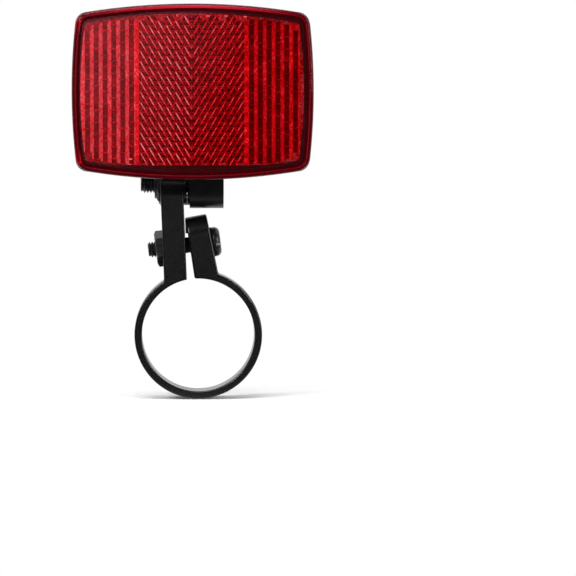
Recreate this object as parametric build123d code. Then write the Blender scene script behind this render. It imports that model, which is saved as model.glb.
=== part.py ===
from build123d import *
import os
from math import ceil, cos, pi, radians, sin, sqrt, tan

# Bicycle rear reflector on its seat post bracket, in millimetres.
# The origin is the centre of the band's bore. X runs across, Y to the back, Z up the arm to the lens.
# The lens faces -Y, and tilts about the pivot screw, which lies along X in the arm's eye.

# Band round the seat post
post_diameter = 28.6
band_wall = 1.9
band_width = 10.0
band_edge_round = 0.45
mouth_corner_round = 0.5
shoulder_round = 0.8

# Arm
arm_thickness = 5.8
arm_lean = 2.2
arm_inner_x = -2.88

# Clamp ear, measured square to its own tilt from where the screw's axis crosses the middle of the bracket
clamp_above_band = 6.75
ear_tilt = 10.0
ear_draft = 1.4
ear_inner = 2.2
ear_thickness = 5.75
ear_above_screw = 7.15
heel_low = 3.2
heel_high = 7.0
heel_width = 7.0
heel_gap = 0.15

# Eye, and the serrations that hold the angle
eye_radius = 5.8
eye_edge_round = 0.4
eye_collar = 0.45
tooth_radius = 5.6
tooth_inner_radius = 3.4
tooth_height = 0.6
tooth_count = 24
tooth_root = 0.1
tooth_gap = 0.03

# Pivot barrel and back cover
barrel_above_ear = 1.9
barrel_length = 8.6
barrel_radius = 6.4
barrel_edge_round = 0.35
web_thickness = 1.5
web_rise = 14.0
neck_rise = 5.0
web_foot = 0.5
cover_clearance = 0.5
cover_plate = 1.6
cover_flange = 0.8
cover_wall = 0.9
cover_edge_round = 0.3
cover_fit = 0.1

# Lens
lens_width = 60.45
lens_height = 43.95
side_bulge = 1.2
top_bulge = 2.55
lens_corner = 3.0
least_corner = 0.4
lens_depth = 8.6
lens_centre_x = -1.35
lens_above_pivot = 1.17
lens_face = 1.8
lens_edge_round = 1.0
skirt_wall = 1.15
skirt_draft = 1.5

# Prisms on the lens's inner face
prism_pitch = 2.54
prism_columns = 6
prism_land = 0.05
prism_root = 0.3
field_clearance = 0.15
strip_pitch = 2.2
strip_margin = 1.8
strip_cell_height = 3.05
strip_cell_gap = 0.06
strip_depth = 0.8
strip_slope = 22

# Pivot screw and its locking nut, M5
pivot_screw_diameter = 5.0
pivot_screw_length = 16.0
pivot_screw_end = 4.9
pivot_head_diameter = 9.0
pivot_head_height = 3.3
pivot_fit = 0.05
counterbore_play = 0.4
pivot_nut_flats = 8.0
pivot_nut_height = 3.6
pivot_nut_proud = 1.0
collar_height = 0.4
pivot_nut_turn = 30
collar_radius = 3.95
nut_rim_radius = 5.3
nut_rim_height = 0.35

# Clamp screw and its nut, M4, tilted so that the nut's end is the lower
clamp_tilt = 7.2
clamp_screw_turn = 9
clamp_screw_diameter = 4.0
clamp_screw_length = 16.0
clamp_head_diameter = 7.5
clamp_head_height = 2.5
clamp_head_sunk = 0.03
clamp_head_play = 0.2
clamp_hole_play = 0.15
clamp_nut_flats = 8.0
clamp_nut_height = 3.2
clamp_nut_sunk = 1.4
clamp_nut_turn = 23

# Recesses and fits that both sets of fasteners share; a crown is the rounded share of a height
head_crown = 0.55
collar_crown = 0.7
nut_land = 0.96
nut_bevel = 30
slot_width = 0.9
slot_depth = 1.2
cross_length = 4.4
nut_fit = 0.05
thread_play = 0.02
screw_chamfer = 0.5


# Places that follow from those sizes
bore_radius = post_diameter / 2
band_radius = bore_radius + band_wall
clamp_height = band_radius + clamp_above_band
pivot_height = clamp_height + ear_above_screw + barrel_above_ear + barrel_radius
mouth_height = sqrt(bore_radius**2 - arm_inner_x**2)
ear_outer = ear_thickness - ear_inner
same_place = 0.01


def arm_inner(height):
    """X of the arm's right-hand face at this height."""
    return arm_inner_x - (height - mouth_height) * tan(radians(arm_lean))


def arm_outer(height):
    """X of the arm's left-hand face at this height."""
    return arm_inner(height) - arm_thickness / cos(radians(arm_lean))


def ear_point(reach, rise):
    """X and Z of a point this far out to the ear's right and this far up the ear."""
    tilt = radians(ear_tilt)
    return (reach * cos(tilt) - rise * sin(tilt), clamp_height + reach * sin(tilt) + rise * cos(tilt))


def tilted_plane(tilt, reach):
    """Plane whose normal is tilted upwards from X, this far along it: its x is Y, its y goes up the ear."""
    across, up = cos(radians(tilt)), sin(radians(tilt))
    origin = (reach * across, 0, clamp_height + reach * up)
    return Plane(origin=origin, x_dir=(0, 1, 0), z_dir=(across, 0, up))


def clamp_plane(reach):
    """Plane square to the clamp screw, this far along its axis."""
    return tilted_plane(clamp_tilt, reach)


def pivot_plane(x):
    """Plane square to the pivot screw: its x is Y, its y is Z."""
    return Plane(origin=(x, 0, pivot_height), x_dir=(0, 1, 0), z_dir=(1, 0, 0))


eye_left = arm_outer(pivot_height)
eye_right = arm_inner(pivot_height)
barrel_left = eye_right + eye_collar + tooth_gap + 2 * tooth_height
barrel_right = barrel_left + barrel_length
pivot_tip = eye_left - pivot_screw_end
pivot_seat = pivot_tip + pivot_screw_length
pivot_nut_seat = eye_left - pivot_nut_proud + pivot_nut_height

head_room = clamp_head_diameter / 2 + clamp_head_play
ear_slope = radians(ear_tilt + ear_draft - clamp_tilt)
ear_at_screw = ear_outer * cos(radians(ear_draft)) / cos(ear_slope)
clamp_seat = ear_at_screw - head_room * abs(tan(ear_slope)) - clamp_head_sunk
arm_at_clamp = arm_outer(clamp_height + arm_outer(clamp_height) * tan(radians(clamp_tilt)))
clamp_nut_seat = arm_at_clamp / cos(radians(clamp_tilt)) + clamp_nut_sunk

cover_back = -barrel_radius - cover_clearance
skirt_back = cover_back - cover_flange
lens_front = cover_back - lens_depth
skirt_flare = (skirt_back - lens_front) * tan(radians(skirt_draft))
lens_inside = lens_front + lens_face
lens_bottom = pivot_height + lens_above_pivot
lens_centre_z = lens_bottom + lens_height / 2
cover_inset = skirt_wall + cover_fit
field_inset = cover_inset + cover_wall + field_clearance


# Bracket

def arm_side():
    """Front view of the room left of the ear, up to the gap between ear and arm."""
    far = arm_outer(pivot_height) - arm_thickness
    edge = Line((arm_inner(0) + heel_gap, 0), (arm_inner(pivot_height) + heel_gap, pivot_height))
    return make_face(edge + Polyline(edge @ 1, (far, pivot_height), (far, 0), edge @ 0))


def bracket_front():
    """Front view of band, arm and ear, with the mouth between them left open."""
    draft = tan(radians(ear_draft))
    arm = Polyline(
        (arm_inner(0), 0),
        (arm_inner(pivot_height), pivot_height),
        (arm_outer(pivot_height), pivot_height),
        (arm_outer(0), 0),
        close=True,
    )
    ear_foot = -ear_inner - clamp_height * draft
    ear = Polyline(
        ear_point(ear_foot, -clamp_height),
        ear_point(-ear_inner + ear_above_screw * draft, ear_above_screw),
        ear_point(ear_outer - ear_above_screw * draft, ear_above_screw),
        ear_point(ear_outer + clamp_height * draft, -clamp_height),
        close=True,
    )
    mouth = Polyline(
        (arm_inner(0), 0),
        (arm_inner(clamp_height), clamp_height),
        ear_point(-ear_inner, 0),
        ear_point(ear_foot, -clamp_height),
        close=True,
    )
    view = Circle(band_radius) - make_face(mouth)
    view += make_face(arm) + (make_face(ear) - arm_side())
    view -= Circle(bore_radius)
    shoulders = [v for v in view.vertices() if abs(Vector(v.X, v.Y).length - band_radius) < same_place]
    view = fillet(shoulders, shoulder_round)
    lips = [v for v in view.vertices() if abs(Vector(v.X, v.Y).length - bore_radius) < same_place]
    return fillet(max(lips, key=lambda v: v.X), mouth_corner_round)


def ear_profile():
    """The ear seen from its side: straight edges and a round end."""
    end = ear_above_screw - band_width / 2
    sides = Pos(0, end - clamp_height) * Rectangle(band_width, 2 * clamp_height)
    return sides + Pos(0, end) * Circle(band_width / 2)


def through_ear(shape):
    """A shape drawn from the ear's side, pushed right through the ear."""
    return extrude(tilted_plane(ear_tilt, -ear_thickness) * shape, 2 * ear_thickness)


def heel():
    """Rib from the ear's top that bears on the arm, so that the screw pulls the band shut below it."""
    low = ear_point(-ear_inner, heel_low)[1]
    high = ear_point(-ear_inner, heel_high)[1]
    root = ear_point(0, heel_high)[0]
    view = Polyline(
        (arm_inner(low) + heel_gap, low),
        (root, low),
        (root, high),
        (arm_inner(high) + heel_gap, high),
        close=True,
    )
    rib = extrude(Plane.XZ * make_face(view), heel_width / 2, both=True)
    return rib & through_ear(ear_profile())


def serrations():
    """Ring of radial teeth standing on the XY plane, with V-shaped roots."""
    ring = extrude(Circle(tooth_radius) - Circle(tooth_inner_radius), tooth_height)
    half_root = pi * tooth_radius / tooth_count - tooth_root
    root = Polyline((-half_root, tooth_height), (half_root, tooth_height), (0, tooth_root), close=True)
    cutter = extrude(Plane.YZ * make_face(root), tooth_radius + tooth_height)
    return ring - [Rot(0, 0, 360 / tooth_count * n) * cutter for n in range(tooth_count)]


def make_bracket():
    body = extrude(Plane.XZ * bracket_front(), band_width / 2, both=True)
    over_ear = Pos(0, ear_above_screw) * Rectangle(2 * band_width, band_width) - ear_profile()
    body -= through_ear(over_ear) - extrude(Plane.XZ * arm_side(), band_width, both=True)
    rims = [
        e for e in body.edges()
        if abs(abs(e.center().Y) - band_width / 2) < same_place
        and not (e.geom_type == GeomType.CIRCLE and abs(e.radius - bore_radius) < same_place)
    ]
    body = fillet(rims, band_edge_round)
    body += heel()
    eye = extrude(pivot_plane(eye_left) * Circle(eye_radius), eye_right - eye_left)
    body += fillet(eye.edges().filter_by(GeomType.CIRCLE), eye_edge_round)
    body += extrude(pivot_plane(eye_left - nut_rim_height) * Circle(nut_rim_radius), nut_rim_height)
    body += extrude(pivot_plane(eye_right) * Circle(tooth_radius), eye_collar)
    body += pivot_plane(eye_right + eye_collar) * serrations()
    return body - bracket_cuts()


def bracket_cuts():
    """Holes for both screws, hex seats for both nuts and the flat under the clamp screw's head."""
    pivot_hole = Circle(pivot_screw_diameter / 2 + pivot_fit)
    pivot_hex = hexagon(pivot_nut_flats + 2 * nut_fit, pivot_nut_turn)
    clamp_hole = Circle(clamp_screw_diameter / 2 + clamp_hole_play)
    clamp_hex = hexagon(clamp_nut_flats + 2 * nut_fit, clamp_nut_turn)
    return [
        extrude(pivot_plane(pivot_tip) * pivot_hole, barrel_right - pivot_tip),
        extrude(pivot_plane(pivot_nut_seat) * pivot_hex, -2 * pivot_nut_height),
        extrude(clamp_plane(clamp_seat) * clamp_hole, -2 * clamp_screw_length),
        extrude(clamp_plane(clamp_nut_seat) * clamp_hex, -2 * clamp_nut_height),
        extrude(clamp_plane(clamp_seat) * Circle(head_room), clamp_head_height),
    ]


# Fasteners, each drawn with its seat on the XY plane

def hexagon(flats, turn):
    return RegularPolygon(flats / 2, 6, major_radius=False, rotation=turn)


def pan_screw(diameter, length, head_diameter, head_height):
    """Pan head screw with a slot along X and a short cross arm; the shank points down."""
    head = extrude(Circle(head_diameter / 2), head_height)
    head = fillet(head.faces().sort_by(Axis.Z)[-1].edges(), head_crown * head_height)
    shank = extrude(Circle(diameter / 2), -length)
    shank = chamfer(shank.faces().sort_by(Axis.Z)[0].edges(), screw_chamfer)
    slot = Pos(0, 0, head_height) * Box(2 * head_diameter, slot_width, 2 * slot_depth)
    cross = Pos(0, 0, head_height) * Box(slot_width, cross_length, 2 * slot_depth)
    return head + shank - slot - cross


def hex_nut(flats, height, thread_diameter, turn):
    """Hex nut with chamfered corners, rising from the XY plane."""
    corner = flats / sqrt(3)
    land = nut_land * flats / 2
    bevel = (corner - land) * tan(radians(nut_bevel))
    side = [(land, 0), (corner, bevel), (corner, height - bevel), (land, height)]
    envelope = Polyline((0, 0), *side, (0, height), close=True)
    blank = extrude(hexagon(flats, turn), height) & revolve(Plane.XZ * make_face(envelope), Axis.Z)
    return blank - extrude(Circle(thread_diameter / 2 + thread_play), height)


def make_pivot_nut():
    """Locking nut: its domed collar stands out past the hex."""
    nut = hex_nut(pivot_nut_flats, pivot_nut_height, pivot_screw_diameter, pivot_nut_turn)
    collar = extrude(Circle(collar_radius), pivot_nut_height + collar_height)
    collar = fillet(collar.faces().sort_by(Axis.Z)[-1].edges(), collar_crown * collar_height)
    nut += collar - extrude(Circle(pivot_screw_diameter / 2 + thread_play), 2 * pivot_nut_height)
    return pivot_plane(pivot_nut_seat) * Rot(0, 180, 0) * nut


def make_pivot_screw():
    screw = pan_screw(pivot_screw_diameter, pivot_screw_length, pivot_head_diameter, pivot_head_height)
    return pivot_plane(pivot_seat) * screw


def make_clamp_nut():
    nut = hex_nut(clamp_nut_flats, clamp_nut_height, clamp_screw_diameter, clamp_nut_turn)
    return clamp_plane(clamp_nut_seat - clamp_nut_height) * nut


def make_clamp_screw():
    screw = pan_screw(clamp_screw_diameter, clamp_screw_length, clamp_head_diameter, clamp_head_height)
    return clamp_plane(clamp_seat) * Rot(0, 0, clamp_screw_turn) * screw


# Lens and back cover, on planes that face the viewer

def lens_plane(y):
    """Plane at this depth, centred on the lens: its x is X, its y is Z, and it faces forwards."""
    return Plane(origin=(lens_centre_x, y, lens_centre_z), x_dir=(1, 0, 0), z_dir=(0, -1, 0))


def outline(grow):
    """The lens's outline, bulging on all four sides, grown by this much, or shrunk if it is negative."""
    side, top = lens_width / 2 + grow, lens_height / 2 + grow
    x, y = side - side_bulge, top - top_bulge
    loop = [
        ThreePointArc((-x, y), (0, top), (x, y)),
        ThreePointArc((x, y), (side, 0), (x, -y)),
        ThreePointArc((x, -y), (0, -top), (-x, -y)),
        ThreePointArc((-x, -y), (-side, 0), (-x, y)),
    ]
    shape = make_face(loop)
    return fillet(shape.vertices(), max(lens_corner + grow, least_corner))


def prism_plane():
    """Plane of the lens's inner face: its x is -X, its y is Z, and it faces backwards."""
    return Plane(origin=(lens_centre_x, lens_inside, lens_centre_z), x_dir=(-1, 0, 0), z_dir=(0, 1, 0))


column_pitch = prism_pitch * sqrt(3) / 2
centre_half_width = prism_columns * column_pitch
cube_edge = prism_pitch / sqrt(2)
cube_relief = 2 * cube_edge / sqrt(3)


def cube_corners():
    """Half of the centre field: cubes stood on their corners, built as stepped slabs one cube edge thick."""
    across = Vector(sqrt(2 / 3), 0, -sqrt(1 / 3))
    downwards = Vector(-sqrt(1 / 6), -sqrt(1 / 2), -sqrt(1 / 3))
    apex = Vector(-column_pitch / 2, 0, cube_relief + prism_land)
    steps = ceil(lens_height / prism_pitch) + 2
    reach = sqrt(2 / 3) * column_pitch + sqrt(1 / 3) * (cube_relief + prism_land + prism_root)
    slabs = []
    for layer in range(-ceil(sqrt(2 / 3) * centre_half_width / cube_edge), ceil(reach / cube_edge)):
        start = (-layer - steps) // 2
        end = start + steps
        stairs = []
        for n in range(start, end):
            stairs += [(n, 1 - layer - n), (n, -layer - n)]
        stairs += [(end, 1 - layer - end), (end, 1 - layer - start)]
        profile = make_face(Polyline(*[(cube_edge * u, cube_edge * t) for u, t in stairs], close=True))
        plane = Plane(origin=apex + across * (layer * cube_edge), x_dir=downwards, z_dir=across)
        slabs.append(extrude(plane * profile, cube_edge))
    floor = Pos(-centre_half_width / 2, 0, -prism_root) * Rectangle(centre_half_width, lens_height)
    half = slabs[0].fuse(*slabs[1:]) & extrude(floor, prism_root + prism_land + 2 * cube_relief)
    return half + mirror(half, about=Plane.YZ)


def strip_cells():
    """Staggered columns of flat-topped cells with sloping sides, one field each side of the centre."""
    field = outline(-field_inset)
    base = Rectangle(strip_pitch - strip_cell_gap, strip_cell_height - strip_cell_gap)
    cell = Pos(0, 0, -prism_root) * extrude(base, prism_root)
    cell += extrude(base, strip_depth, taper=strip_slope)
    rows = ceil(lens_height / strip_cell_height / 2)
    columns = ceil((lens_width / 2 - centre_half_width) / strip_pitch)
    cells = []
    for column in range(columns):
        x = centre_half_width + strip_margin + column * strip_pitch
        for row in range(-rows, rows + 1):
            y = (row + 0.5 * (column % 2)) * strip_cell_height
            corner = Vector(x + strip_pitch / 2, abs(y) + strip_cell_height / 2, 0)
            if field.is_inside(corner):
                cells += [Pos(x, y) * cell, Pos(-x, y) * cell]
    return cells


def make_lens():
    back = lens_plane(skirt_back)
    body = loft([back * outline(skirt_flare), lens_plane(lens_front) * outline(0)], ruled=True)
    body = fillet(body.faces().sort_by(Axis.Y)[0].edges(), lens_edge_round)
    body -= extrude(back * outline(-skirt_wall), skirt_back - lens_inside)
    field = extrude(prism_plane() * Pos(0, 0, -prism_root) * outline(-field_inset), 2 * cube_relief)
    body += (prism_plane() * cube_corners()) & field
    return body.fuse(*[prism_plane() * cell for cell in strip_cells()])


def barrel_view(rise):
    """The barrel and its foot on the cover, seen along X: a rib that rises this far up the cover."""
    foot = lens_bottom + cover_inset + web_foot - pivot_height
    barrel = CenterArc((0, 0), barrel_radius, 0, 360)
    return make_hull([barrel, Line((cover_back, foot), (cover_back, foot + rise))])


def round_web(web, side):
    """The web with the edges of its outer end rounded, except where it meets the cover."""
    end = web.faces().sort_by(Axis.X)[side]
    rim = [e for e in end.edges() if e.center().Y > cover_back + same_place]
    return fillet(rim, barrel_edge_round)


def make_back_cover():
    body = extrude(lens_plane(cover_back) * outline(-cover_inset), cover_back - lens_inside)
    body += extrude(lens_plane(cover_back) * outline(skirt_flare), cover_flange)
    body = fillet(body.faces().sort_by(Axis.Y)[-1].edges(), cover_edge_round)
    room = outline(-cover_inset - cover_wall)
    body -= extrude(lens_plane(cover_back - cover_plate) * room, cover_back - cover_plate - lens_inside)
    left_web = extrude(pivot_plane(barrel_left) * barrel_view(web_rise), web_thickness)
    right_web = extrude(pivot_plane(barrel_right) * barrel_view(web_rise), -web_thickness)
    body += extrude(pivot_plane(barrel_left) * barrel_view(neck_rise), barrel_length)
    body += round_web(left_web, 0)
    body += round_web(right_web, -1)
    body += pivot_plane(barrel_left) * Rot(0, 180, 0) * serrations()
    counterbore = Circle(pivot_head_diameter / 2 + counterbore_play)
    body -= extrude(pivot_plane(pivot_seat - pivot_fit) * counterbore, barrel_length)
    pivot_hole = Circle(pivot_screw_diameter / 2 + pivot_fit)
    return body - extrude(pivot_plane(eye_right) * pivot_hole, 2 * barrel_length)


pieces = {
    "lens": make_lens,
    "back_cover": make_back_cover,
    "bracket": make_bracket,
    "pivot_screw": make_pivot_screw,
    "pivot_nut": make_pivot_nut,
    "clamp_screw": make_clamp_screw,
    "clamp_nut": make_clamp_nut,
}

os.makedirs("parts", exist_ok=True)
for name, make in pieces.items():
    export_step(make(), f"parts/{name}.step")
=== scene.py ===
from math import cos, pi, radians, sin, sqrt

import bmesh
import bpy
from mathutils import Matrix, Vector


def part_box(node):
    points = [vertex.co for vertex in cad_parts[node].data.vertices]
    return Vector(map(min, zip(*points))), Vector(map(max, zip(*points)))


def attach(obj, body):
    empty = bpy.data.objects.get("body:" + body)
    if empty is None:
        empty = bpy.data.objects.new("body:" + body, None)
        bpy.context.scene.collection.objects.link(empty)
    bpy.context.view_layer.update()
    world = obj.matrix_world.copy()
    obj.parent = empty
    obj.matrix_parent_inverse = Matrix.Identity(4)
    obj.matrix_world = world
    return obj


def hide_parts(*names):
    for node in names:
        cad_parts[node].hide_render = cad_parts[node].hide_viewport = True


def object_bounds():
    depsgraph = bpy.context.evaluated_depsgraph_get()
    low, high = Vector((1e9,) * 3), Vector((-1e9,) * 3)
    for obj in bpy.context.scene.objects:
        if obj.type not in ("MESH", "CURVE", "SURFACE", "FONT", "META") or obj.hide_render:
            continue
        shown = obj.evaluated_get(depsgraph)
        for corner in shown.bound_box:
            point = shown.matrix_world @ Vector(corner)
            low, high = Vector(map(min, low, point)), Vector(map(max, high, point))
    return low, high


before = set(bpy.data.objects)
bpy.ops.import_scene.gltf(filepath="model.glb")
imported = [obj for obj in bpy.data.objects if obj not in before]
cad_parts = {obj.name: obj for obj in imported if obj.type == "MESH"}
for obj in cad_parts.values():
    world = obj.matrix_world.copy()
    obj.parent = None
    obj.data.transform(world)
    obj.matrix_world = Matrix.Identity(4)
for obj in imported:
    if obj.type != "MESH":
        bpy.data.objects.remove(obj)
cad_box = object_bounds()
mm = 0.001
same_place = 0.01 * mm

# Lens sizes, as in the part
side_bulge = 1.2 * mm
top_bulge = 2.55 * mm
lens_corner = 3.0 * mm
least_corner = 0.4 * mm
lens_edge_round = 1.0 * mm
skirt_wall = 1.15 * mm
skirt_flare = 0.204 * mm
lens_face = 1.8 * mm
field_inset = 2.3 * mm

# Rim of the lens's window, and the slope inside it, which only the scene has
window_rim_width = 0.1 * mm
window_slope_width = 0.8 * mm
window_slope_drop = 0.07 * mm

# Steps in the lens's corners, sides and rounded edge
corner_steps = 8
side_cuts = 23
edge_round_steps = 6

# Prism sizes, as in the part
prism_pitch = 2.54 * mm
prism_columns = 6
strip_pitch = 2.2 * mm
strip_margin = 1.8 * mm
strip_cell_height = 3.05 * mm
strip_depth = 0.8 * mm

# Prism layer sizes that only the scene has
strip_side = 0.52 * mm
strip_end = 0.2 * mm
least_strip_cell = 0.9 * mm
seam_width = 0.2 * mm
field_shift = -0.3 * mm
field_floor_inset = 3.6 * mm
field_side_reach = 0.25 * mm
field_edge_clear = 0.3
ground_thickness = 0.15 * mm
ground_gap = 0.05 * mm
layer_spare = 0.2 * mm
bar_thickness = 0.1 * mm
divider_place = 13.6 * mm
divider_width = 0.9 * mm
divider_wave = 0.22 * mm
divider_drop = 0.02 * mm
divider_spot_share = 0.3
edge_line_place = 27.5 * mm

# Screw threads
pivot_thread_radius = 2.5 * mm
pivot_thread_pitch = 0.8 * mm
pivot_thread_length = 5.5 * mm
clamp_tilt = 7.2
clamp_thread_radius = 2.0 * mm
clamp_thread_pitch = 0.7 * mm
clamp_thread_length = 4.5 * mm

# Thread form. The first four are shares of the pitch: depth, half of foot and crest, and start of turn one.
thread_depth = 0.55
thread_half_foot = 0.46
thread_half_crest = 0.12
thread_start = 0.45
thread_sunk = 0.05 * mm
thread_steps = 24
core_steps = 32
merge_distance = 0.001 * mm

# Painted light on the prism layer: how bright each part is painted, 0 is near black and 1 is white
# Dark facets and strip cells are painted shade; seams, strip sides, dividers and sparks are painted
# highlights
painted_facet_shades = (0.42, 0.2, 0.42, 0.28, 0.42, 0.2)
painted_seam_light = 0.6
painted_ground_light = 0.78
painted_strip_cell_shade = 0.31
painted_strip_side_highlight = 0.86
painted_strip_end_light = 0.6
painted_divider_highlight = 0.66
painted_divider_spot_highlight = 0.86
painted_spark_highlight = 1.1

# Painted shade on the right half: how bright its painted light is beside the left one
right_facets = 0.9
right_glints = 0.78
right_strips = 0.77
right_divider = 0.74

# How bright the painted highlight line at the left strip field's outer side is, beside the left divider
edge_line = 1.25

# Sparks, small painted highlights where prism rows end: their outline's steps and their depth under the top
# of the layer, then for each one its place across and up the lens from the middle, width, and height
spark_steps = 8
spark_drop = 0.03 * mm
sparks = (
    (-3.9 * mm, 19.1 * mm, 0.6 * mm, 0.4 * mm),
    (2.1 * mm, 19.9 * mm, 0.5 * mm, 0.35 * mm),
    (3.8 * mm, 18.9 * mm, 1.1 * mm, 0.4 * mm),
    (8.3 * mm, 18.9 * mm, 0.9 * mm, 0.45 * mm),
    (13.1 * mm, 18.7 * mm, 0.9 * mm, 0.5 * mm),
    (-15.6 * mm, -16.8 * mm, 1.0 * mm, 0.35 * mm),
    (-15.8 * mm, -18.1 * mm, 0.6 * mm, 0.3 * mm),
)

# Marks on the lens's faces, which pick their reds: its window; the slope round it, painted darker as shade;
# the line where its rounded edge starts, at the top and at the sides, painted lighter as a highlight; and
# the rest, painted darker as shade.
# The line reaches down to these shares of the edge's rounding.
mark_window = 0.0
mark_slope = 0.25
mark_top_line = 0.5
mark_side_line = 0.88
mark_edge = 1.0
top_line_reach = 26 * mm
top_line_depth = 0.14
side_line_depth = 0.05

# Painted glints: bright bars along the cell diagonals that carry painted highlights. The diagonal's turn and
# the glints' depth under the top of the layer, then for each one from where to where it runs along the
# diagonal, width, and painted light
diagonal_turn = radians(30)
glint_drop = 0.08 * mm
glints = (
    (-1.3 * mm, 0.85 * mm, 0.3 * mm, 0.93),
    (0.85 * mm, 2.3 * mm, 0.26 * mm, 0.78),
)


# Shader building blocks

def node(tree, kind, inputs=None, **settings):
    """Adds a node with these settings, and gives its inputs these values or links."""
    made = tree.nodes.new(kind)
    for name, value in settings.items():
        setattr(made, name, value)
    for name, value in (inputs or {}).items():
        if isinstance(value, bpy.types.NodeSocket):
            tree.links.new(value, made.inputs[name])
        else:
            made.inputs[name].default_value = value
    return made


def new_material(name):
    """A material, its node tree, its Principled shader and its Object coordinates."""
    material = bpy.data.materials.new(name)
    material.use_nodes = True
    tree = material.node_tree
    coords = node(tree, "ShaderNodeTexCoord").outputs["Object"]
    return material, tree, tree.nodes["Principled BSDF"], coords


def noise(tree, coords, grain, detail=2.0, rough=0.5):
    """Noise whose features are about this large, in metres."""
    inputs = {"Vector": coords, "Scale": 1 / grain, "Detail": detail, "Roughness": rough}
    return node(tree, "ShaderNodeTexNoise", inputs).outputs[0]


def spread(tree, value, low, high):
    """Spreads a noise value over this range."""
    inputs = {"Value": value, "From Min": 0.3, "From Max": 0.7, "To Min": low, "To Max": high}
    return node(tree, "ShaderNodeMapRange", inputs).outputs["Result"]


def ramp(tree, value, stops):
    """Colour ramp through these (place, colour) stops."""
    made = node(tree, "ShaderNodeValToRGB", {"Fac": value})
    points = made.color_ramp.elements
    while len(points) < len(stops):
        points.new(1.0)
    for point, (place, colour) in zip(points, stops):
        point.position = place
        point.color = (*colour, 1.0)
    return made.outputs["Color"]


def bump(tree, height, depth):
    """Normals of a relief of this depth, in metres."""
    inputs = {"Height": height, "Distance": depth, "Strength": 1.0}
    return node(tree, "ShaderNodeBump", inputs).outputs["Normal"]


# Materials

def moulded_black(name, shade, low_rough, high_rough, shine):
    """Satin black moulding: a fine eroded grain and faint rubbed patches."""
    patch_size, grain_size, grain_depth, patch_shade = 12 * mm, 0.28 * mm, 0.02 * mm, 0.4
    material, tree, shader, coords = new_material(name)
    patches = noise(tree, coords, patch_size, 3.0)
    grain = noise(tree, coords, grain_size, 2.0)
    darker = [patch_shade * part for part in shade]
    colour = ramp(tree, patches, [(0.3, darker), (0.7, shade)])
    tree.links.new(colour, shader.inputs["Base Color"])
    tree.links.new(spread(tree, patches, low_rough, high_rough), shader.inputs["Roughness"])
    tree.links.new(bump(tree, grain, grain_depth), shader.inputs["Normal"])
    shader.inputs["Specular IOR Level"].default_value = shine
    return material


def black_zinc():
    """Black zinc plate on steel: dark, partly metallic, rubbed unevenly."""
    rub_size, grain_size, grain_depth = 1.6 * mm, 0.2 * mm, 0.01 * mm
    dark, rubbed = (0.018, 0.018, 0.02), (0.05, 0.05, 0.052)
    material, tree, shader, coords = new_material("black zinc plate")
    rub = noise(tree, coords, rub_size, 4.0)
    colour = ramp(tree, rub, [(0.3, dark), (0.7, rubbed)])
    tree.links.new(colour, shader.inputs["Base Color"])
    tree.links.new(spread(tree, rub, 0.2, 0.36), shader.inputs["Roughness"])
    grain = noise(tree, coords, grain_size)
    tree.links.new(bump(tree, grain, grain_depth), shader.inputs["Normal"])
    shader.inputs["Metallic"].default_value = 0.6
    return material


def clear_red():
    """Clear red acrylic of the lens: a clear window, a darker, less clear red painted on the slope and edge
    as shade, and a brighter red painted at the top as a highlight.
    """
    wave_size = 4 * mm
    material, tree, shader, coords = new_material("clear red acrylic")
    edge = node(tree, "ShaderNodeAttribute", attribute_name="edge").outputs["Fac"]
    # Painted reds: shade on the slope and edge, a highlight line at the top, a lighter line at the sides
    reds = ((0.95, 0.2, 0.24), (0.4, 0.003, 0.014), (0.9, 0.02, 0.05), (0.4, 0.003, 0.014))
    clears = (1.0, 0.94, 0.5, 0.86)
    marks = (mark_window, mark_slope, mark_top_line, mark_edge)
    colour = ramp(tree, edge, list(zip(marks, reds)))
    tree.links.new(colour, shader.inputs["Base Color"])
    clearness = ramp(tree, edge, [(mark, [clear] * 3) for mark, clear in zip(marks, clears)])
    tree.links.new(clearness, shader.inputs["Transmission Weight"])
    shader.inputs["IOR"].default_value = 1.49
    shader.inputs["Specular Tint"].default_value = (0.7, 0.2, 0.24, 1)
    waves = noise(tree, coords, wave_size)
    tree.links.new(spread(tree, waves, 0.03, 0.06), shader.inputs["Roughness"])
    return material


def prism_red():
    """The prisms seen through the lens with their light painted on: painted shade on the facets, painted
    highlights on seams and edges, by each face's painted light.
    """
    flicker_size, drift_size = 0.6 * mm, 4 * mm
    material, tree, shader, coords = new_material("red prism layer")
    painted_light = node(tree, "ShaderNodeAttribute", attribute_name="painted_light").outputs["Fac"]
    # Random unevenness in the painted light
    flicker = spread(tree, noise(tree, coords, flicker_size, 3.0, 0.6), -0.14, 0.13)
    drift = spread(tree, noise(tree, coords, drift_size, 2.0), -0.07, 0.06)
    uneven = node(tree, "ShaderNodeMath", {0: flicker, 1: drift}, operation="ADD").outputs[0]
    total = node(tree, "ShaderNodeMath", {0: painted_light, 1: uneven}, operation="ADD").outputs[0]
    # From painted shade through red to painted white highlights
    colour = ramp(tree, total, [
        (0.0, (0.03, 0.0, 0.002)),
        (0.25, (0.12, 0.001, 0.004)),
        (0.45, (0.4, 0.003, 0.012)),
        (0.7, (0.95, 0.015, 0.03)),
        (0.92, (1.0, 0.42, 0.46)),
        (1.0, (1.0, 0.95, 0.95)),
    ])
    tree.links.new(colour, shader.inputs["Base Color"])
    shader.inputs["Roughness"].default_value = 0.3
    shader.inputs["Specular IOR Level"].default_value = 0.0
    return material


# Mesh building blocks

# Faces of this area and more stay flat-shaded
flat_area = 100 * mm ** 2


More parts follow.
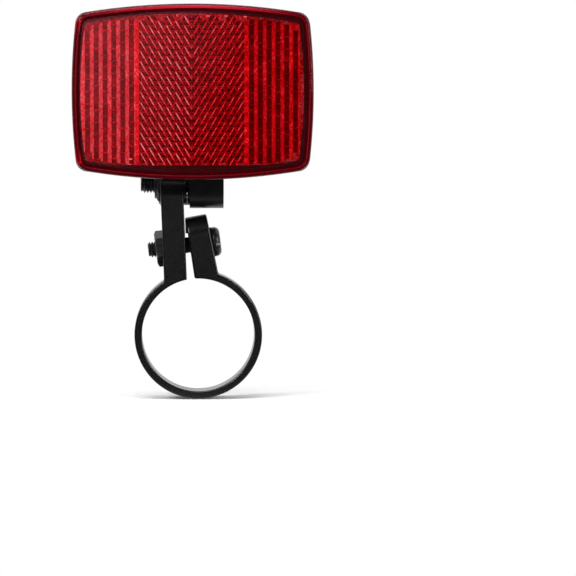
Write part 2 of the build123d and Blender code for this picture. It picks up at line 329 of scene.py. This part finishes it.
def finish_piece(name, shape, material, body, stands_for, crease=40):
    """Makes an object of this bmesh: smooth-shaded, riding on its body, standing for its CAD node."""
    mesh = bpy.data.meshes.new(name)
    shape.to_mesh(mesh)
    shape.free()
    mesh.shade_smooth()
    mesh.set_sharp_from_angle(angle=radians(crease))
    for face in mesh.polygons:
        face.use_smooth = face.area < flat_area
    mesh.materials.append(material)
    piece = bpy.data.objects.new(name, mesh)
    bpy.context.scene.collection.objects.link(piece)
    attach(piece, body)
    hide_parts(*stands_for)
    return piece


def new_verts(result):
    """The vertices that an operator made."""
    return [item for item in result["geom"] if isinstance(item, bmesh.types.BMVert)]


def faces_round(verts):
    """The faces at these vertices, each once, in the order of the vertices."""
    return list(dict.fromkeys(face for vert in verts for face in vert.link_faces))


lens_low, lens_high = (Vector(corner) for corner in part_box("lens"))
lens_centre = (lens_low + lens_high) / 2
lens_half_width = (lens_high.x - lens_low.x) / 2 - skirt_flare
lens_half_height = (lens_high.z - lens_low.z) / 2 - skirt_flare
lens_depth = lens_high.y - lens_low.y

# Pieces of the lens are drawn face up: x across, y up the lens, z out of its front, which is the XY plane
to_lens = Matrix.Translation((lens_centre.x, lens_low.y, lens_centre.z)) @ Matrix.Rotation(pi / 2, 4, "X")


def lens_outline(shape, grow):
    """Face with the lens's outline, grown by this much, in the XY plane."""
    half_width, half_height = lens_half_width + grow, lens_half_height + grow
    corners = bmesh.ops.create_grid(shape, x_segments=1, y_segments=1, size=1)["verts"]
    bmesh.ops.scale(shape, vec=(half_width, half_height, 1), verts=corners)
    rounding = max(lens_corner + grow, least_corner)
    bmesh.ops.bevel(
        shape, geom=corners, offset=rounding, offset_type="OFFSET", segments=corner_steps, profile=0.5,
        affect="VERTICES", material=-1,
    )
    sides = [edge for edge in shape.edges if edge.calc_length() > 2 * rounding]
    bmesh.ops.subdivide_edges(shape, edges=sides, cuts=side_cuts)
    for vert in shape.verts:
        across, up = vert.co.x / half_width, vert.co.y / half_height
        vert.co.x *= 1 - side_bulge / half_width * up ** 2
        vert.co.y *= 1 - top_bulge / half_height * across ** 2
    return shape.faces[:][0]


def make_lens_skin(material):
    """Skin and skirt of the lens, hollow at the back, with its front faces marked for their reds: painted
    shade and painted highlight lines.
    """
    shape = bmesh.new()
    edge = shape.faces.layers.float.new("edge")
    face = lens_outline(shape, 0)
    pushed = new_verts(bmesh.ops.extrude_face_region(shape, geom=[face]))
    flare = (1 + skirt_flare / lens_half_width, 1 + skirt_flare / lens_half_height, 1)
    bmesh.ops.translate(shape, vec=(0, 0, -lens_depth), verts=pushed)
    bmesh.ops.scale(shape, vec=flare, verts=pushed)
    bmesh.ops.recalc_face_normals(shape, faces=shape.faces[:])
    shape.faces.ensure_lookup_table()
    back = min(shape.faces, key=lambda f: f.normal.z)
    bmesh.ops.inset_region(shape, faces=[back], thickness=skirt_wall)
    cavity = new_verts(bmesh.ops.extrude_face_region(shape, geom=[back]))
    bmesh.ops.delete(shape, geom=[back], context="FACES_ONLY")
    bmesh.ops.translate(shape, vec=(0, 0, lens_depth - layer_depth - lens_face), verts=cavity)
    front = [side for side in shape.edges if all(abs(v.co.z) < same_place for v in side.verts)]
    bmesh.ops.bevel(
        shape, geom=front, offset=lens_edge_round, offset_type="OFFSET", segments=edge_round_steps,
        profile=0.5, affect="EDGES", material=-1,
    )
    window = max(shape.faces, key=lambda f: f.calc_area() * f.normal.z)
    bmesh.ops.inset_region(shape, faces=[window], thickness=window_rim_width)
    slope = bmesh.ops.inset_region(shape, faces=[window], thickness=window_slope_width)["faces"]
    for face in shape.faces:
        middle = face.calc_center_median()
        if face.calc_area() > flat_area:
            face[edge] = mark_window
            continue
        # Painted lighter line where the rounded edge starts, painted shade on the rest of the edge
        face[edge] = mark_side_line if middle.z > -side_line_depth * lens_edge_round else mark_edge
        # Brighter painted red along the top, a highlight for the light from above, fading towards the sides
        if middle.z > -top_line_depth * lens_edge_round and middle.y > 0:
            fading = min(abs(middle.x) / top_line_reach, 1) ** 2
            face[edge] = mark_top_line + fading * (face[edge] - mark_top_line)
    for face in slope:
        face[edge] = mark_slope
    raised = set(window.verts)
    for vert in shape.verts:
        if vert.co.z > -same_place and vert not in raised:
            vert.co.z -= window_slope_drop
    shape.transform(to_lens)
    return finish_piece("lens_skin", shape, material, "reflector_head", ["lens"])


# Prism layer

field_floor = field_floor_inset - lens_half_height
column_pitch = prism_pitch * sqrt(3) / 2
corner_radius = prism_pitch / sqrt(3)
cube_rise = prism_pitch / sqrt(6)
centre_half_width = prism_columns * column_pitch
layer_depth = 2 * cube_rise + layer_spare


def close_below(shape, painted_light, faces, level):
    """Closes these faces into a solid, with walls from their border down to this level and a floor.

    Edges and vertices keep their order, because in a set's order some runs left a hole in a cut cell.
    """
    sides = dict.fromkeys(side for face in faces for side in face.edges)
    border = [side for side in sides if side.is_boundary]
    made = bmesh.ops.extrude_edge_only(shape, edges=border)["geom"]
    verts = {item for item in made if isinstance(item, bmesh.types.BMVert)}
    for vert in verts:
        vert.co.z = level
    edges = [item for item in made if isinstance(item, bmesh.types.BMEdge)]
    rim = [edge for edge in edges if verts.issuperset(edge.verts)]
    walls = [item for item in made if isinstance(item, bmesh.types.BMFace)]
    walls += bmesh.ops.contextual_create(shape, geom=rim)["faces"]
    for face in walls:
        face[painted_light] = painted_ground_light
    bmesh.ops.recalc_face_normals(shape, faces=faces + walls)
    return list(dict.fromkeys(vert for face in faces + walls for vert in face.verts))


def add_cube_corner(shape, painted_light, x, y, facet_share, glint_share):
    """One cube corner of the left half: six facets round its deepest point, each painted lighter or darker
    by which way it faces, and painted glints on its diagonal.
    """
    turned = Matrix.Rotation(diagonal_turn, 3, "Z")
    made = bmesh.ops.create_circle(shape, cap_ends=True, cap_tris=True, segments=6, radius=corner_radius)
    cell = made["verts"]
    bmesh.ops.rotate(shape, matrix=turned, verts=cell)
    for vert in cell:
        around = round(-vert.co.to_2d().angle_signed(Vector((1, 0)), 0) / radians(60)) % 6
        if vert.co.length < 0.5 * corner_radius:
            vert.co.z = -2 * cube_rise
        elif around % 2 == 0:
            vert.co.z = -cube_rise
    facets = faces_round(cell)
    # Painted shade of each facet, by which way it faces, and painted light on its seams
    shades = {}
    for face in facets:
        middle = face.calc_center_median().to_2d().angle_signed(Vector((1, 0)), 0)
        shades[face] = facet_share * painted_facet_shades[int(-middle // radians(60)) % 6]
    rims = bmesh.ops.inset_individual(shape, faces=facets, thickness=seam_width)["faces"]
    for face in rims:
        face[painted_light] = facet_share * painted_seam_light
    for face in facets:
        face[painted_light] = shades[face]
    verts = close_below(shape, painted_light, facets + rims, -layer_depth)
    for start, end, width, shine in glints:
        glint = bmesh.ops.create_cube(shape, size=1)["verts"]
        bmesh.ops.scale(shape, vec=(width, end - start, bar_thickness), verts=glint)
        bmesh.ops.translate(shape, vec=(0, -(start + end) / 2, -glint_drop), verts=glint)
        bmesh.ops.rotate(shape, matrix=turned, verts=glint)
        for face in faces_round(glint):
            face[painted_light] = glint_share * shine
        verts += glint
    bmesh.ops.translate(shape, vec=(x, y, 0), verts=verts)


def add_centre_field(shape, facet_share, glint_share, mirrored):
    """Half of the centre field, left of the middle, or mirrored to its right."""
    half = bmesh.new()
    half_painted_light = half.faces.layers.float.new("painted_light")
    for column in range(prism_columns):
        x = -(column + 0.5) * column_pitch
        edge = 1 - (x / lens_half_width) ** 2 * top_bulge / lens_half_height
        reach = lens_half_height * edge - field_inset - field_edge_clear * prism_pitch
        offset = 0.5 * (column % 2)
        rows = int(lens_half_height / prism_pitch) + 1
        for row in range(-rows, rows + 1):
            y = (row + offset) * prism_pitch
            if abs(y) < reach:
                add_cube_corner(half, half_painted_light, x, y, facet_share, glint_share)
    for place, outwards in (((0, 0, 0), (1, 0, 0)), ((0, field_floor, 0), (0, -1, 0))):
        geom = half.verts[:] + half.edges[:] + half.faces[:]
        bmesh.ops.bisect_plane(half, geom=geom, plane_co=place, plane_no=outwards, clear_outer=True)
    bmesh.ops.holes_fill(half, edges=[edge for edge in half.edges if edge.is_boundary], sides=0)
    if mirrored:
        bmesh.ops.scale(half, vec=(-1, 1, 1), verts=half.verts[:])
        bmesh.ops.reverse_faces(half, faces=half.faces[:])
    copy = bpy.data.meshes.new("half")
    half.to_mesh(copy)
    half.free()
    shape.from_mesh(copy)
    bpy.data.meshes.remove(copy)


def add_strip_cell(shape, painted_light, x, low, high, share):
    """Flat-topped strip cell with sloping sides, between these two heights, painted dark in its middle, with
    painted highlights on its sides and lighter ends.
    """
    height = high - low
    base = bmesh.ops.create_grid(shape, x_segments=1, y_segments=1, size=0.5)["verts"]
    bmesh.ops.scale(shape, vec=(strip_pitch, height, 1), verts=base)
    cell = base[0].link_faces[0]
    sides = bmesh.ops.inset_individual(shape, faces=[cell], thickness=strip_end)["faces"]
    narrower = (strip_pitch - 2 * strip_side) / (strip_pitch - 2 * strip_end)
    bmesh.ops.scale(shape, vec=(narrower, 1, 1), verts=cell.verts)
    bmesh.ops.translate(shape, vec=(0, 0, -strip_depth), verts=cell.verts)
    cell[painted_light] = share * painted_strip_cell_shade
    for face in sides:
        beside = abs(face.normal.x) > abs(face.normal.y)
        face[painted_light] = share * (painted_strip_side_highlight if beside else painted_strip_end_light)
    verts = close_below(shape, painted_light, [cell, *sides], -layer_depth)
    bmesh.ops.translate(shape, vec=(x, (low + high) / 2, 0), verts=verts)


def add_divider(shape, painted_light, x, wave, share):
    """Upright line painted as a highlight beside a strip field: straight, or wavy with a brighter painted
    spot on each prism row.
    """
    rows = 2 * int((lens_half_height - field_inset) / prism_pitch)
    line = bmesh.ops.create_grid(shape, x_segments=1, y_segments=2 * rows, size=0.5)["verts"]
    bmesh.ops.scale(shape, vec=(divider_width, rows * prism_pitch, 1), verts=line)
    bmesh.ops.translate(shape, vec=(x, 0, -divider_drop), verts=line)
    for vert in line:
        vert.co.x += wave * sin(2 * pi * vert.co.y / prism_pitch)
    faces = faces_round(line)
    for face in faces:
        spot = wave and (face.calc_center_median().y / prism_pitch) % 1 < divider_spot_share
        face[painted_light] = share * (painted_divider_spot_highlight if spot else painted_divider_highlight)
    close_below(shape, painted_light, faces, -layer_depth)


def make_prism_layer(material):
    """Ground plate, centre field, dividers, strip fields and sparks, all inside the lens's skin."""
    shape = bmesh.new()
    painted_light = shape.faces.layers.float.new("painted_light")
    ground = lens_outline(shape, -field_inset)
    for vert in ground.verts:
        vert.co.x *= 1 + field_side_reach / lens_half_width
        vert.co.y = max(vert.co.y, field_floor)
    pushed = new_verts(bmesh.ops.extrude_face_region(shape, geom=[ground]))
    bmesh.ops.translate(shape, vec=(0, 0, -ground_thickness), verts=pushed)
    bmesh.ops.recalc_face_normals(shape, faces=shape.faces[:])
    bmesh.ops.translate(shape, vec=(0, 0, -2 * cube_rise - ground_gap), verts=shape.verts[:])
    for face in shape.faces:
        face[painted_light] = painted_ground_light
    add_centre_field(shape, 1, 1, False)
    add_centre_field(shape, right_facets, right_glints, True)
    painted_light = shape.faces.layers.float["painted_light"]
    add_divider(shape, painted_light, -edge_line_place, 0, edge_line)
    add_divider(shape, painted_light, -divider_place, 0, 1)
    add_divider(shape, painted_light, divider_place, divider_wave, right_divider)
    strip_room = lens_half_width - field_inset - centre_half_width - strip_margin
    columns = int(strip_room / strip_pitch + 0.5)
    for column in range(columns):
        x = centre_half_width + strip_margin + column * strip_pitch
        edge = 1 - (x / lens_half_width) ** 2 * top_bulge / lens_half_height
        reach = lens_half_height * edge - field_inset
        reach -= strip_margin / 2 if column < columns - 1 else strip_margin
        rows = int(lens_half_height / strip_cell_height) + 1
        for row in range(-rows, rows + 1):
            y = (row + 0.5 * (column % 2)) * strip_cell_height
            low = max(y - strip_cell_height / 2, -reach, field_floor)
            high = min(y + strip_cell_height / 2, reach)
            if high - low > least_strip_cell:
                add_strip_cell(shape, painted_light, x, low, high, right_strips)
                add_strip_cell(shape, painted_light, -x, low, high, 1)
    for x, y, width, height in sparks:
        made = bmesh.ops.create_circle(shape, cap_ends=True, segments=spark_steps, radius=0.5)
        spark = made["verts"]
        bmesh.ops.scale(shape, vec=(width, height, 1), verts=spark)
        bmesh.ops.translate(shape, vec=(x - field_shift, y, -spark_drop), verts=spark)
        face = spark[0].link_faces[0]
        face[painted_light] = painted_spark_highlight
        close_below(shape, painted_light, [face], -bar_thickness)
    bmesh.ops.translate(shape, vec=(field_shift, 0, -lens_face), verts=shape.verts[:])
    shape.transform(to_lens)
    return finish_piece(
        "prism_layer", shape, material, "reflector_head", ["lens"], crease=10,
    )


def add_thread(shape, root, radius, pitch, turns):
    """Helical ridge round the Z axis, from just below the origin down."""
    ridge = bmesh.new()
    foot = root - thread_sunk
    corners = (
        (foot, -thread_half_foot),
        (radius, -thread_half_crest),
        (radius, thread_half_crest),
        (foot, thread_half_foot),
    )
    profile = [ridge.verts.new((reach, 0, (rise - thread_start) * pitch)) for reach, rise in corners]
    start = ridge.faces.new(profile)
    bmesh.ops.spin(
        ridge, geom=[start, *start.edges, *profile], cent=(0, 0, 0), axis=(0, 0, 1),
        dvec=(0, 0, -pitch / thread_steps), angle=2 * pi * turns, steps=thread_steps * turns,
    )
    bmesh.ops.recalc_face_normals(ridge, faces=ridge.faces[:])
    copy = bpy.data.meshes.new("ridge")
    ridge.to_mesh(copy)
    ridge.free()
    shape.from_mesh(copy)
    bpy.data.meshes.remove(copy)


def make_threaded_screw(node_name, tilt, radius, pitch, length, material):
    """The CAD screw with a real thread on its shank's end, which points left, tilted down by this angle."""
    shape = bmesh.new()
    shape.from_mesh(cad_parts[node_name].data)
    bmesh.ops.remove_doubles(shape, verts=shape.verts[:], dist=merge_distance)
    along = Vector((-cos(radians(tilt)), 0, -sin(radians(tilt))))
    reach = max(vert.co.dot(along) for vert in shape.verts)
    tip = [vert.co for vert in shape.verts if vert.co.dot(along) > reach - same_place]
    turned = along.to_track_quat("Z", "Y").to_matrix().to_4x4()
    to_screw = Matrix.Translation(sum(tip, Vector()) / len(tip)) @ turned
    shape.transform(to_screw.inverted())
    geom = shape.verts[:] + shape.edges[:] + shape.faces[:]
    cut = (0, 0, -length)
    bmesh.ops.bisect_plane(shape, geom=geom, plane_co=cut, plane_no=(0, 0, 1), clear_outer=True)
    rims = [edge for edge in shape.edges if edge.is_boundary]
    bmesh.ops.holes_fill(shape, edges=rims, sides=0)
    root = radius - thread_depth * pitch
    core = bmesh.ops.create_cone(
        shape, cap_ends=True, segments=core_steps, radius1=root, radius2=root, depth=length,
    )["verts"]
    bmesh.ops.translate(shape, vec=(0, 0, -length / 2), verts=core)
    add_thread(shape, root, radius, pitch, int(length / pitch - 1))
    shape.transform(to_screw)
    return finish_piece(
        node_name + "_threaded", shape, material, "clamp_bracket", [node_name], crease=30,
    )


# Black parts keep their CAD solids and get their finishes, and the lens and the screws are remade

black_housing = moulded_black("black housing", (0.012, 0.012, 0.0125), 0.24, 0.34, 0.32)
black_nylon = moulded_black("black nylon", (0.0045, 0.0045, 0.0048), 0.2, 0.3, 0.5)
zinc = black_zinc()
finishes = {
    "back_cover": black_housing,
    "bracket": black_nylon,
    "pivot_screw": zinc,
    "pivot_nut": zinc,
    "clamp_screw": zinc,
    "clamp_nut": zinc,
}
for name, finish in finishes.items():
    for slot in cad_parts[name].material_slots:
        slot.material = finish

make_lens_skin(clear_red())
make_prism_layer(prism_red())
make_threaded_screw(
    "pivot_screw", 0, pivot_thread_radius, pivot_thread_pitch, pivot_thread_length, zinc,
)
make_threaded_screw(
    "clamp_screw", clamp_tilt, clamp_thread_radius, clamp_thread_pitch, clamp_thread_length, zinc,
)


# Floor, light and camera

# Strength of the white surround to matt surfaces, and in front of the object to glossy ones
soft_fill = 0.5
dark_front = 0.02

# The white card that the lens mirrors: its direction, its even core, its faded rim and its strength
card_place = (-0.06, -1.0, 0.04)
card_core = 0.04
card_reach = 0.085
card_strength = 2.4

# How far the surround takes to turn from dark to white, in the world and on the floor
world_turn = 0.5
floor_turn = 0.04

# The floor: half its side, its gap under the object, and where the shadowed part fades to white
floor_half_side = 3.0
floor_gap = 0.2 * mm
shadow_core = 0.012
shadow_reach = 0.05

# Lamps aimed at the object's middle: name, place, size, and power
lamps = (
    ("key softbox", (-0.9, -1.1, 0.95), (0.5, 0.5), 14),
    ("top softbox", (-0.1, -0.25, 0.7), (0.4, 0.35), 3.5),
    ("right softbox", (0.8, -0.5, 0.3), (0.4, 0.5), 4),
)

camera_place = (-5.5 * mm, -891 * mm, 60.3 * mm)
camera_aim = (22.74 * mm, -5 * mm, 11.9 * mm)
camera_sensor = 36
camera_lens = 218.9


def white_behind(tree, y, turn):
    """What reflections see of the surround: dark in front of the object, white behind it."""
    inputs = {"Value": y, "From Min": -turn, "From Max": turn / 2, "To Min": dark_front, "To Max": 1.0}
    return node(tree, "ShaderNodeMapRange", inputs).outputs["Result"]


def seen_white(tree, mirrored):
    """Strength of the surround: 1 to the camera and through the lens, and a soft fill to matt surfaces.

    Glossy surfaces mirror the strength that is given.
    """
    path = node(tree, "ShaderNodeLightPath").outputs
    inputs = {"Factor": path["Is Glossy Ray"], "A": soft_fill, "B": mirrored}
    others = node(tree, "ShaderNodeMix", inputs, data_type="FLOAT").outputs["Result"]
    inputs = {0: path["Is Camera Ray"], 1: path["Is Transmission Ray"]}
    direct = node(tree, "ShaderNodeMath", inputs, operation="MAXIMUM").outputs[0]
    inputs = {"Factor": direct, "A": others, "B": 1.0}
    return node(tree, "ShaderNodeMix", inputs, data_type="FLOAT").outputs["Result"]


def make_floor():
    """Pale floor that takes the object's shadow near it, and is plain white further off."""
    shape = bmesh.new()
    bmesh.ops.create_grid(shape, x_segments=1, y_segments=1, size=floor_half_side)
    lowest = Vector(cad_box[0]).z
    bmesh.ops.translate(shape, vec=(0, 0, lowest - floor_gap), verts=shape.verts[:])
    mesh = bpy.data.meshes.new("floor")
    shape.to_mesh(mesh)
    shape.free()
    floor = bpy.data.objects.new("floor", mesh)
    bpy.context.scene.collection.objects.link(floor)
    material, tree, shader, coords = new_material("pale floor")
    shader.inputs["Base Color"].default_value = (0.95, 0.95, 0.95, 1)
    shader.inputs["Roughness"].default_value = 0.9
    shader.inputs["Specular IOR Level"].default_value = 0.0
    far = node(tree, "ShaderNodeVectorMath", {0: coords}, operation="LENGTH").outputs["Value"]
    inputs = {"Value": far, "From Min": shadow_core, "From Max": shadow_reach, "To Min": 0.0, "To Max": 1.0}
    fade = node(tree, "ShaderNodeMapRange", inputs, interpolation_type="SMOOTHSTEP").outputs["Result"]
    glossy = node(tree, "ShaderNodeLightPath").outputs["Is Glossy Ray"]
    fade = node(tree, "ShaderNodeMath", {0: fade, 1: glossy}, operation="MAXIMUM").outputs[0]
    y = node(tree, "ShaderNodeSeparateXYZ", {0: coords}).outputs["Y"]
    strength = seen_white(tree, white_behind(tree, y, floor_turn))
    white = node(tree, "ShaderNodeEmission", {"Strength": strength})
    mix = node(tree, "ShaderNodeMixShader", {0: fade, 1: shader.outputs[0], 2: white.outputs[0]})
    tree.links.new(mix.outputs[0], tree.nodes["Material Output"].inputs["Surface"])
    mesh.materials.append(material)


def make_world():
    """White studio round the object, with the card in front of it."""
    world = bpy.data.worlds.new("studio")
    bpy.context.scene.world = world
    world.use_nodes = True
    tree = world.node_tree
    background = tree.nodes["Background"]
    direction = node(tree, "ShaderNodeTexCoord").outputs["Generated"]
    y = node(tree, "ShaderNodeSeparateXYZ", {0: direction}).outputs["Y"]
    inputs = {0: direction, 1: card_place}
    away = node(tree, "ShaderNodeVectorMath", inputs, operation="DISTANCE").outputs["Value"]
    inputs = {
        "Value": away, "From Min": card_core, "From Max": card_reach,
        "To Min": card_strength, "To Max": 0.0,
    }
    card = node(tree, "ShaderNodeMapRange", inputs).outputs["Result"]
    inputs = {0: card, 1: white_behind(tree, y, world_turn)}
    mirrored = node(tree, "ShaderNodeMath", inputs, operation="MAXIMUM").outputs[0]
    tree.links.new(seen_white(tree, mirrored), background.inputs["Strength"])
    background.inputs["Color"].default_value = (1, 1, 1, 1)


def add_lamp(name, place, aim, size, power):
    """Rectangular lamp at this place that points at the aim."""
    lamp = bpy.data.lights.new(name, "AREA")
    lamp.shape = "RECTANGLE"
    lamp.size, lamp.size_y = size
    lamp.energy = power
    rig = bpy.data.objects.new(name, lamp)
    rig.location = place
    rig.rotation_euler = (Vector(aim) - Vector(place)).to_track_quat("-Z", "Y").to_euler()
    bpy.context.scene.collection.objects.link(rig)


def make_camera():
    """About level with the lens's middle, 0.9 m before it, aimed at the right of the object and lower."""
    data = bpy.data.cameras.new("camera")
    data.sensor_width = camera_sensor
    data.lens = camera_lens
    camera = bpy.data.objects.new("camera", data)
    camera.location = camera_place
    aim = Vector(camera_aim)
    camera.rotation_euler = (aim - camera.location).to_track_quat("-Z", "Y").to_euler()
    bpy.context.scene.collection.objects.link(camera)
    bpy.context.scene.camera = camera


make_floor()
make_world()
middle = (Vector(cad_box[0]) + Vector(cad_box[1])) / 2
for name, place, size, power in lamps:
    add_lamp(name, place, middle, size, power)
make_camera()
bpy.context.scene.view_settings.view_transform = "Standard"
